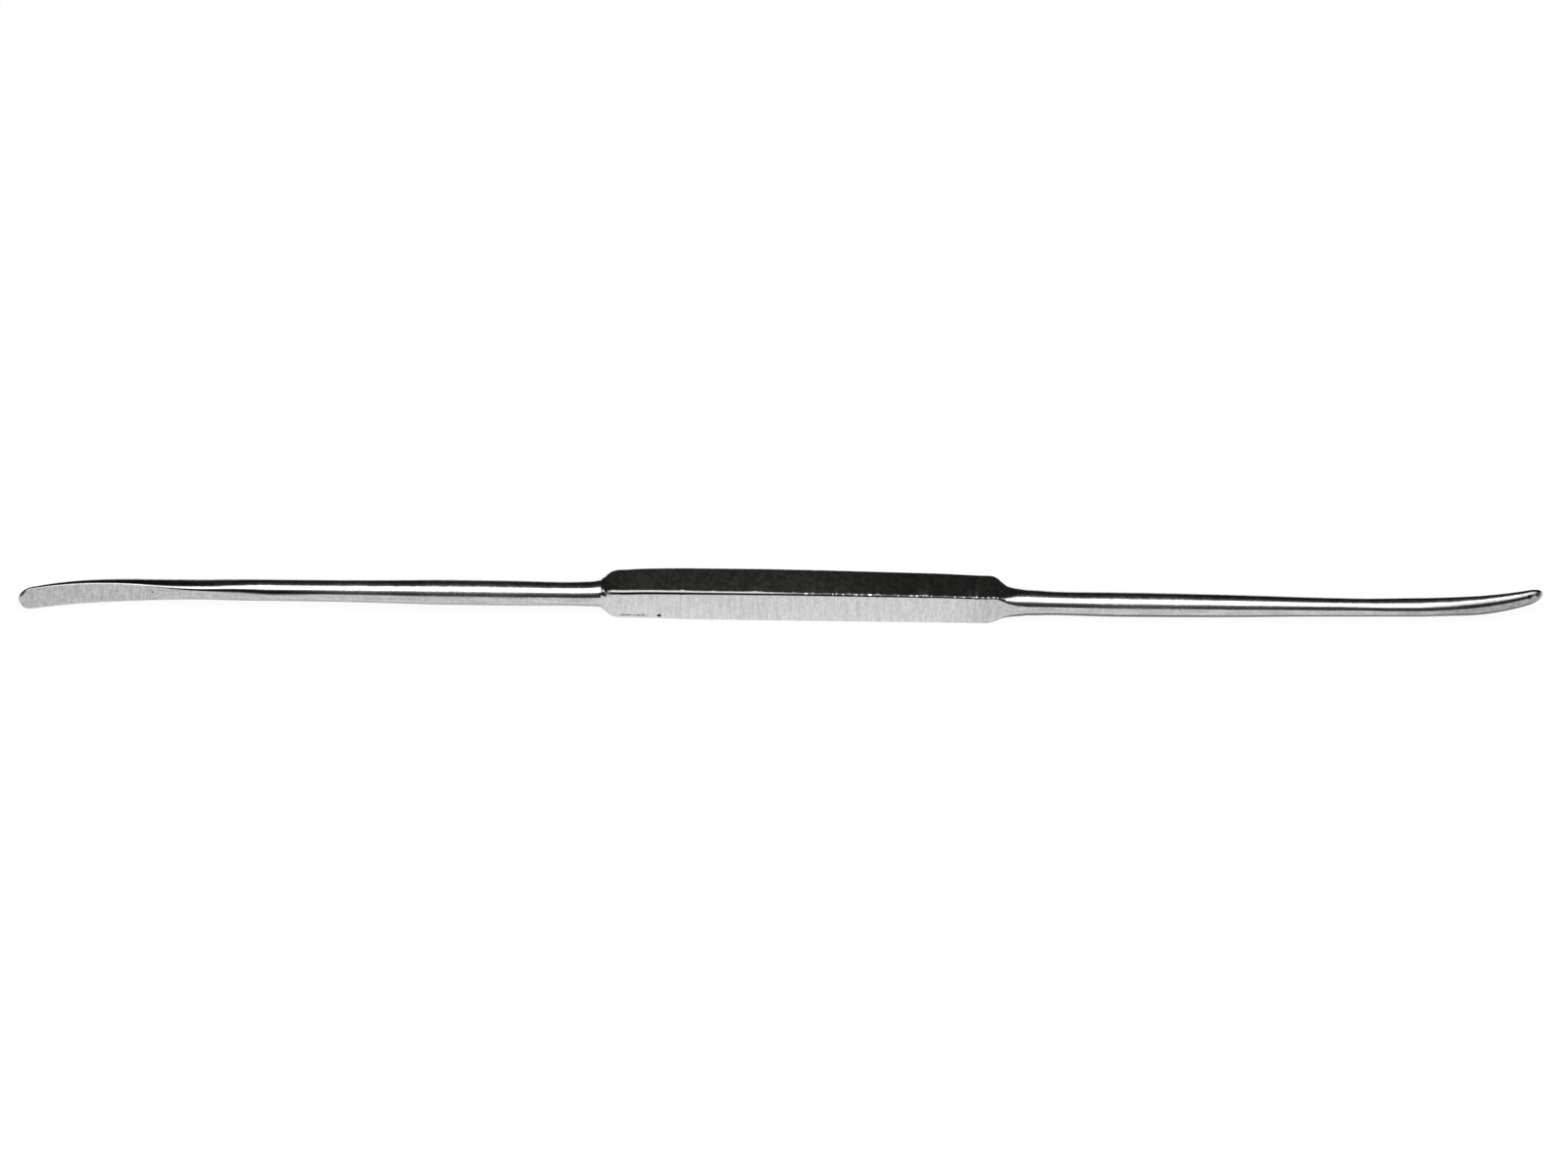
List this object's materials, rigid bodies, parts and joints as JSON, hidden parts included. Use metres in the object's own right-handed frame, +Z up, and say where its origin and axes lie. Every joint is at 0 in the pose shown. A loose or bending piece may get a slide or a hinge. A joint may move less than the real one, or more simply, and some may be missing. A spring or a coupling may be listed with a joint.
{
  "type": "double-ended surgical retractor",
  "caption": "Slender steel hand retractor: square handle, round tapered shafts, and a small curved half-round blade at each end, bent opposite ways.",
  "frame": {"origin": "centre of the bounding box in plan, on the plane that the handle's underside rests on", "axes": "+X along the length towards the blade with its flat behind, +Y away from the flat of the -X blade, +Z up from the handle's underside"},
  "size_m": [0.19, 0.0052, 0.0048],
  "materials": {
    "ground_steel": "satin, finely ground, edges brighter"
  },
  "bodies": {
    "root": {"retractor": "ground_steel"}
  },
  "joints": []
}
